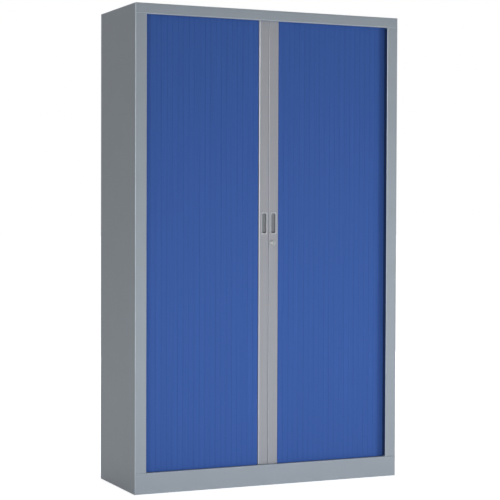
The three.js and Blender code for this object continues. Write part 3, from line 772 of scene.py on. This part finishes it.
# Shelves: four steel trays, each folded from one sheet, open below and returned along the front.
# Each hangs by four hooked lugs in the slots of the liners.
shelf_return = 15 * mm
shelf_x = interior_x - gap
cheek_inset = fold_radius + sheet
for i, (shelf_low, shelf_high) in enumerate(shelf_boxes, 1):
    near_y = shelf_low.y
    far_y = shelf_high.y
    top = shelf_high.z
    bottom = shelf_low.z
    rear_fold = [(far_y, bottom), (far_y, top)]
    front_fold = [(near_y, top), (near_y, bottom), (near_y + shelf_return, bottom)]
    tray = bar(f"shelf_{i}_tray", folded(rear_fold + front_fold), "x", -shelf_x, shelf_x)
    cheek_y = (near_y + cheek_inset, far_y - cheek_inset)
    arm_z = (top - lug_drop - lug_height, top - lug_drop)
    claw_z = (arm_z[0] - lug_hook_drop, arm_z[0] + mm)
    parts = []
    for side in (-1, 1):
        cheek_x = sorted((side * shelf_x, side * (shelf_x - sheet)))
        arm_x = sorted((side * (shelf_x - sheet / 2), side * (shelf_x + lug_reach)))
        claw_x = sorted((side * (shelf_x + lug_reach - lug_hook), side * (shelf_x + lug_reach)))
        parts.append(block("cheek", cheek_x, cheek_y, (bottom, top - sheet / 2)))
        for lug_y in lug_ys:
            thick = about(lug_y, lug_thickness / 2)
            parts.append(block("arm", arm_x, thick, arm_z))
            parts.append(block("claw", claw_x, thick, claw_z))
    join(tray, *parts)
    finish(soften(tray, 0.3 * mm), powder_coat, "carcass", "painted_steel", f"shelf_{i}")


# Tracks: moulded polyamide rails that carry the tongues of the slats, at the top and the bottom,
# pressed on to the ledges of the two panels. The corner pieces turn the curtain into its pocket.
track_nodes = ["bottom_front_track", "top_front_track"]
track_nodes += [f"{hand}_{level}_return_track" for level in ("bottom", "top") for hand in ("left", "right")]
for cad_node in track_nodes:
    rounded_copy(f"{cad_node}_rail", cad_node, 0.35 * mm, 1, polyamide, "carcass", "track_plastic")


# Handle profiles: an open-backed aluminium extrusion on the leading edge of each curtain, rounded
# towards the slats. The grip, the lock and the way for its hook are milled into them.
profile_wall = 1.6 * mm
profile_lip = 6 * mm
slat_side_radius = 5 * mm
slat_clearance = 1.5 * mm  # groove beside the first slat, down to the lip that it hooks behind
meeting_radius = 2.2 * mm
meeting_clearance = 0.5 * mm  # half of what shows as the dark line in the middle
profile_low, profile_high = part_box("left_handle_profile")

# Anodised aluminium, extruded: satin and slightly cool, with the fine lines of the die along its
# length, a few tenths of a millimetre apart. They are drawn at about one millimetre. The rounded
# edges carry a painted highlight: their colour is lifted and they are made more metallic.
aluminium, anodised, anodised_place = new_material("anodised_aluminium")
anodised_drawn = node(anodised, "ShaderNodeMapping", {"Vector": anodised_place, "Scale": (1, 1, 0.004)})
anodised_lines = node(
    anodised, "ShaderNodeTexNoise", {"Vector": anodised_drawn, "Scale": 900.0, "Detail": 3.0}
)
anodised_clouds = node(anodised, "ShaderNodeTexNoise", {"Vector": anodised_drawn, "Scale": 60.0})
anodised_bend_highlight = bend_highlight_share(anodised)
surface(
    anodised,
    "97999F",
    [(anodised_lines, 0.93, 1.07), (anodised_bend_highlight, 1.0, 1.8)],
    (anodised_lines, 0.15, 0.04 * mm),
    {
        "Roughness": (anodised_clouds, 0.4, 0.52),
        "Metallic": (anodised_bend_highlight, 0.25, 0.95),
        "Specular IOR Level": 0.25,
    },
)


def arc(x, y, radius, start, end, steps=8):
    """Points of an arc, between two angles in degrees."""
    turns = [math.radians(start + (end - start) * i / steps) for i in range(steps + 1)]
    return [(x + radius * math.cos(turn), y + radius * math.sin(turn)) for turn in turns]


def rounded_rectangle(x, y, wide, high, radius):
    across = wide / 2 - radius
    along = high / 2 - radius
    corners = ((across, -along, -90), (across, along, 0), (-across, along, 90), (-across, -along, 180))
    return [point for dx, dy, start in corners for point in arc(x + dx, y + dy, radius, start, start + 90)]


hook_x = profile_low.x
hook_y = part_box("left_curtain_strip_01")[1].y + gap
left_x = hook_x + slat_clearance
right_x = profile_high.x - meeting_clearance
face_y = profile_low.y
rear_y = profile_high.y
wall_y = face_y + profile_wall
lip_y = rear_y - profile_wall
left_lip_x = left_x + profile_wall + profile_lip
right_lip_x = right_x - profile_wall - profile_lip
slat_arc = (left_x + slat_side_radius, face_y + slat_side_radius)
meeting_arc = (right_x - meeting_radius, face_y + meeting_radius)
profile_section = [
    (hook_x, rear_y),
    (hook_x, hook_y),
    (left_x, hook_y),
    *arc(*slat_arc, slat_side_radius, 180, 270),
    *arc(*meeting_arc, meeting_radius, 270, 360),
    (right_x, rear_y),
    (right_lip_x, rear_y),
    (right_lip_x, lip_y),
    (right_x - profile_wall, lip_y),
    *arc(*meeting_arc, meeting_radius - profile_wall, 360, 270, 4),
    *arc(*slat_arc, slat_side_radius - profile_wall, 270, 180),
    (left_x + profile_wall, lip_y),
    (left_lip_x, lip_y),
    (left_lip_x, rear_y),
]
cup_low, cup_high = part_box("left_grip_cup")
cup_x = (cup_low.x + cup_high.x) / 2
cup_z = (cup_low.z + cup_high.z) / 2
recess_width = 18 * mm
recess_height = 80 * mm
recess_radius = 6 * mm
cup_wall = 1.5 * mm
around_cup = 2 * (cup_wall + gap)
housing_low, housing_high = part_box("lock_housing")
lock_x = (housing_low.x + housing_high.x) / 2
lock_z = (housing_low.z + housing_high.z) / 2
housing_radius = 11 * mm
notch_z = (lock_z - 29.5 * mm, lock_z + 8.5 * mm)
notch_front = face_y + 8.8 * mm
through_face = (face_y - mm, wall_y + mm)

profile = bar("left_profile", profile_section, "z", profile_low.z, profile_high.z)
grip_outline = rounded_rectangle(
    cup_x, cup_z, recess_width + around_cup, recess_height + around_cup, recess_radius + around_cup / 2
)
cut(
    profile,
    bar("grip_hole", grip_outline, "y", *through_face),
    block("notch", (right_lip_x - mm, right_x + mm), (notch_front, rear_y + mm), notch_z),
)
right_profile = mirrored(profile, "right_profile")
lock_outline = circle(lock_x, lock_z, housing_radius + gap, 40)
cut(right_profile, bar("lock_hole", lock_outline, "y", *through_face))
soften(profile, 0.25 * mm, 2)
soften(right_profile, 0.25 * mm, 2)
finish(profile, aluminium, "left_leading_edge", "anodised_aluminium", "left_handle_profile")
finish(right_profile, aluminium, "right_leading_edge", "anodised_aluminium", "right_handle_profile")


# Grip cups: a finger pull moulded in grey ABS and snapped into each profile. Its rounded rim lies
# on the face, and its recess has slanted walls and a rounded floor.
rim_width = cup_high.x - cup_low.x
rim_height = cup_high.z - cup_low.z
rim_radius = 5 * mm
rim_face = cup_low.y
rim_thickness = 1.5 * mm
tub_back = cup_high.y
tub = (recess_width + 2 * cup_wall, recess_height + 2 * cup_wall, recess_radius + cup_wall)
# Each ring: how far inside the outline of the rim it lies, its depth behind the rim's face, and the
# radius of its corners, which grows inwards to that of the recess
rim_rings = [
    (0.0, rim_thickness, rim_radius),
    (0.0, 0.9 * mm, rim_radius),
    (0.15 * mm, 0.45 * mm, 4.9 * mm),
    (0.6 * mm, 0.12 * mm, 4.7 * mm),
    (1.3 * mm, 0.0, 4.6 * mm),
    (3.1 * mm, 0.05 * mm, 5.1 * mm),
    (3.9 * mm, 0.2 * mm, 5.5 * mm),
    (4.5 * mm, 0.6 * mm, 5.8 * mm),
    (4.9 * mm, 1.4 * mm, recess_radius),
]
# The inset from the outline of the mouth, and the depth, for the recess
recess_rings = [
    (0.0, 2.4 * mm),
    (0.5 * mm, 9.0 * mm),
    (0.9 * mm, 10.8 * mm),
    (1.8 * mm, 11.7 * mm),
    (3.2 * mm, 12 * mm),
]

# ABS, moulded: a mid grey with an even, fine grain. The rim is painted lighter, as a highlight,
# and the recess darker with depth, as painted shade.
abs_plastic, abs_tree, abs_place = new_material("moulded_abs")
abs_grain = node(abs_tree, "ShaderNodeTexNoise", {"Vector": abs_place, "Scale": 1400.0, "Detail": 2.0})
abs_flow = node(abs_tree, "ShaderNodeTexNoise", {"Vector": abs_place, "Scale": 50.0})
abs_y = node(abs_tree, "ShaderNodeSeparateXYZ", {0: abs_place}).outputs["Y"]
# painted highlight on the rim and painted shade in the recess, by depth behind the rim's face
abs_light_by_depth_range = {"Value": abs_y, "From Min": rim_face + 0.2 * mm, "From Max": rim_face + 1.5 * mm}
abs_painted_light_by_depth = node(abs_tree, "ShaderNodeMapRange", abs_light_by_depth_range)
surface(
    abs_tree,
    "9A9DA2",
    [(abs_flow, 0.94, 1.06), (abs_painted_light_by_depth, 1.25, 0.76)],
    (abs_grain, 0.25, 0.05 * mm),
    {"Roughness": (abs_grain, 0.32, 0.46), "IOR": 1.53},
)


def cup_ring(wide, high, radius, inset, y):
    corner = max(radius - inset, 1.2 * mm)
    outline = rounded_rectangle(cup_x, cup_z, wide - 2 * inset, high - 2 * inset, corner)
    return [(x, y, z) for x, z in outline]


cup_rings = [
    cup_ring(*tub, 1.5 * mm, tub_back),
    cup_ring(*tub, 0.4 * mm, tub_back - 0.4 * mm),
    cup_ring(*tub, 0, tub_back - 1.5 * mm),
    cup_ring(*tub, 0, rim_face + rim_thickness),
]
for inset, deep, corner in rim_rings:
    cup_rings.append(cup_ring(rim_width, rim_height, corner + inset, inset, rim_face + deep))
for inset, deep in recess_rings:
    cup_rings.append(cup_ring(recess_width, recess_height, recess_radius, inset, rim_face + deep))
left_cup = loft("left_finger_pull", cup_rings)
shade(left_cup, 60)
weigh_normals(left_cup)
right_cup = mirrored(left_cup, "right_finger_pull")
finish(left_cup, abs_plastic, "left_leading_edge", "grey_plastic", "left_grip_cup")
finish(right_cup, abs_plastic, "right_leading_edge", "grey_plastic", "right_grip_cup")


# End glides: plugs moulded in the same polyamide as the tracks and pressed into the ends of the
# profiles. Each has a tongue that runs in the track and carries the leading edge.
for hand in ("left", "right"):
    body = f"{hand}_leading_edge"
    for level in ("bottom", "top"):
        cad_node = f"{hand}_{level}_glide"
        rounded_copy(f"{hand}_{level}_plug", cad_node, 0.5 * mm, 2, polyamide, body, "track_plastic")


# Lock: a nickel-plated cam lock in the right profile, turned with a flat key. Its plug carries the
# steel hook that swings into the left profile, where it catches behind a notched steel strike.
plug_low, plug_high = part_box("lock_plug")
plug_front = plug_low.y
plug_back = plug_high.y
plug_radius = 7.5 * mm
drive_radius = 3 * mm
bore_radius = plug_radius + gap
housing_front = housing_low.y
housing_back = housing_high.y
rosette_radius = 13 * mm
rosette_front = face_y - gap - 1.5 * mm
key_width = 1.4 * mm
key_height = 7 * mm
key_depth = 8 * mm

# Nickel plate over brass: satin and nearly neutral, with the faint rings of turning.
nickel, nickel_tree, nickel_place = new_material("nickel_plated_brass")
nickel_middle = {"Vector": nickel_place, "Location": (-lock_x, 0, -lock_z)}
nickel_centred = node(nickel_tree, "ShaderNodeMapping", nickel_middle)
nickel_rings = node(
    nickel_tree,
    "ShaderNodeTexWave",
    {"Vector": nickel_centred, "Scale": 500.0, "Distortion": 0.6, "Detail": 1.0},
    wave_type="RINGS",
    rings_direction="Y",
)
nickel_clouds = node(nickel_tree, "ShaderNodeTexNoise", {"Vector": nickel_centred, "Scale": 220.0})
surface(
    nickel_tree,
    "A8AAAB",
    [(nickel_clouds, 0.94, 1.04)],
    (nickel_rings, 0.12, 0.03 * mm),
    {"Roughness": (nickel_clouds, 0.25, 0.33), "Metallic": 1.0},
)

housing_profile = [
    (bore_radius, housing_back),
    (bore_radius, housing_front + 0.7 * mm),
    (bore_radius + 0.2 * mm, housing_front + 0.2 * mm),
    (bore_radius + 0.7 * mm, housing_front),
    (housing_radius - 2.2 * mm, housing_front + 0.05 * mm),
    (housing_radius - 1.9 * mm, housing_front + 0.25 * mm),
    (housing_radius - 0.3 * mm, housing_front + 1.3 * mm),
    (housing_radius - 0.02 * mm, housing_front + 1.6 * mm),
    (housing_radius, rosette_front - 0.6 * mm),
    (housing_radius + 0.5 * mm, rosette_front - 0.02 * mm),
    (rosette_radius - 0.7 * mm, rosette_front + 0.15 * mm),
    (rosette_radius - 0.1 * mm, rosette_front + 0.7 * mm),
    (rosette_radius, rosette_front + 1.3 * mm),
    (rosette_radius - 0.1 * mm, face_y - gap),
    (housing_radius, face_y - gap),
    (housing_radius, housing_back - 0.5 * mm),
    (housing_radius - 0.5 * mm, housing_back),
    (bore_radius, housing_back),
]
housing = turned("lock_collar", housing_profile, lock_x, 0, lock_z, axis="y", sides=48)
shade(housing, 50)
finish(housing, nickel, "right_leading_edge", "nickel_plate", "lock_housing")

plug_profile = [
    (0, plug_back),
    (drive_radius - 0.3 * mm, plug_back),
    (drive_radius, plug_back - 0.3 * mm),
    (drive_radius, housing_back),
    (plug_radius, housing_back),
    (plug_radius, plug_front + 0.8 * mm),
    (plug_radius - 0.2 * mm, plug_front + 0.25 * mm),
    (plug_radius - 0.7 * mm, plug_front),
    (plug_radius - 1.6 * mm, plug_front),
    (plug_radius - 1.8 * mm, plug_front + 0.2 * mm),
    (0, plug_front + 0.2 * mm),
]
plug = turned("lock_cylinder", plug_profile, lock_x, 0, lock_z, axis="y", sides=48)
key_y = (plug_front - mm, plug_front + key_depth)
cut(plug, block("keyway", about(lock_x, key_width / 2), key_y, about(lock_z, key_height / 2)))
shade(plug, 35)
finish(plug, nickel, "lock_barrel", "nickel_plate", "lock_plug")
rounded_copy("hook", "lock_hook", 0.4 * mm, 2, zinc, "lock_barrel", "galvanised_steel")
rounded_copy("strike", "lock_strike", 0.3 * mm, 2, zinc, "left_leading_edge", "galvanised_steel")


# Curtains: hooked slats of extruded PVC, 24 mm apart, that swivel in each other's edges. Each is
# slightly crowned, thin in the middle and thick at its hooks, with a tongue at each end.
slat_thickness = 3 * mm
slats_per_strip = 2
strip_low, strip_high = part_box("left_curtain_strip_01")
slat_pitch = (strip_high.x - strip_low.x + gap) / slats_per_strip
slat_bottom = profile_low.z
slat_top = profile_high.z
slat_side = gap / 2
edge_drop = 0.5 * mm  # of the groove between two slats
edge_width = 0.3 * mm
skin = 1.4 * mm
hook_width = 4 * mm
groove_depth = 0.9 * mm  # in the hook at the right, 1.2 mm wide
crown = 0.06 * mm
crown_steps = 6
tongue_width = 8 * mm
tongue_root = 2 * mm  # of the tongue, inside the slat

# PVC, extruded: a medium blue, satin, with faint streaks along each slat where the melt ran.
pvc, extruded, pvc_place = new_material("extruded_pvc")
pvc_along = node(extruded, "ShaderNodeMapping", {"Vector": pvc_place, "Scale": (1, 1, 0.006)})
pvc_streaks = node(extruded, "ShaderNodeTexNoise", {"Vector": pvc_along, "Scale": 160.0, "Detail": 4.0})
pvc_grain = node(extruded, "ShaderNodeTexNoise", {"Vector": pvc_place, "Scale": 900.0, "Detail": 2.0})
pvc_range = {"Value": pvc_streaks, "From Min": 0.3, "From Max": 0.7}
pvc_melt = node(extruded, "ShaderNodeMapRange", pvc_range)
surface(
    extruded,
    "35569A",
    [(pvc_melt, 0.95, 1.05)],
    (pvc_grain, 0.2, 0.05 * mm),
    {"Roughness": (pvc_grain, 0.5, 0.62), "Specular IOR Level": 0.25},
)

left = slat_side
right = slat_pitch - slat_side
crown_line = []
for i in range(crown_steps + 1):
    share = i / crown_steps
    across = left + edge_width + (right - left - 2 * edge_width) * share
    crown_line.append((across, crown * (2 * share - 1) ** 2))
slat_outline = [
    (left, edge_drop),
    (left + 0.1 * mm, edge_drop / 2),
    *crown_line,
    (right - 0.1 * mm, edge_drop / 2),
    (right, edge_drop),
    (right, slat_thickness),
    (right - 1.2 * mm, slat_thickness),
    (right - 1.2 * mm, slat_thickness - groove_depth),
    (right - 2.4 * mm, slat_thickness - groove_depth),
    (right - 2.4 * mm, slat_thickness),
    (right - hook_width, slat_thickness),
    (right - hook_width - 0.8 * mm, skin),
    (left + hook_width + 0.8 * mm, skin),
    (left + hook_width, slat_thickness),
    (left, slat_thickness),
]
slat_rows = grid_tree("slat_rows", pvc)
slat_section = [(across, strip_low.y + deep) for across, deep in slat_outline]
slat = bar("slat", slat_section, "z", slat_bottom, slat_top)
tongue_x = about(slat_pitch / 2, tongue_width / 2)
tongue_y = (strip_low.y + 0.15 * mm, strip_low.y + slat_thickness)
for ends in ((strip_low.z, slat_bottom + tongue_root), (slat_top - tongue_root, strip_high.z)):
    join(slat, block("tongue", tongue_x, tongue_y, ends))
shade(slat, 30)
for hand in ("left", "right"):
    for i in range(1, 12):
        cad_node = f"{hand}_curtain_strip_{i:02d}"
        strip_low, strip_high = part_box(cad_node)
        strip = placed(f"{hand}_slat_pair_{i:02d}", slat.data.copy())
        strip.data.transform(Matrix.Translation((strip_low.x - slat_side, 0, 0)))
        grown(
            strip,
            slat_rows,
            column_count=slats_per_strip,
            column_step=(slat_pitch, 0, 0),
            row_count=1,
            row_step=(0, 0, 0),
        )
        finish(strip, pvc, f"{hand}_slats_{i:02d}", "slat_plastic", cad_node)
bpy.data.objects.remove(slat)


# Painted shade: a dark navy strip on the return of each upright, drawn like a pile seal on its tape,
# stands for the deep shade beside the curtain. It shows as the dark line inside the right upright.
strip_back_x = (-stile_inner_x, -stile_inner_x + 0.6 * mm)
strip_back_y = (front_y + 3.4 * mm, front_y + stile_return - 0.4 * mm)
strip_body_x = (-stile_inner_x - stile_hem + 2 * mm, -stile_inner_x + 0.2 * mm)
strip_body_y = (front_y + stile_return + 0.05 * mm, strip_low.y - 0.5 * mm)
shade_strip_z = (plinth_high.z + 4 * mm, header_low.z - 4 * mm)

# Painted shade: a dark navy with a fine grain like fibres, for the shade inside the uprights.
jamb_shade, jamb_shade_tree, jamb_shade_place = new_material("painted_jamb_shade")
jamb_shade_grain = node(jamb_shade_tree, "ShaderNodeTexNoise", {"Vector": jamb_shade_place, "Scale": 1800.0, "Detail": 2.0})
surface(
    jamb_shade_tree,
    "26395E",
    [(jamb_shade_grain, 0.5, 1.5)],
    (jamb_shade_grain, 0.8, 0.2 * mm),
    {"Roughness": 0.95, "Specular IOR Level": 0.2},
)
left_shade_strip = block("left_jamb_shade", strip_back_x, strip_back_y, shade_strip_z)
join(left_shade_strip, block("jamb_shade", strip_body_x, strip_body_y, shade_strip_z))
soften(left_shade_strip, 0.2 * mm)
right_shade_strip = mirrored(left_shade_strip, "right_jamb_shade")
finish(left_shade_strip, jamb_shade, "carcass", "track_plastic")
finish(right_shade_strip, jamb_shade, "carcass", "track_plastic")
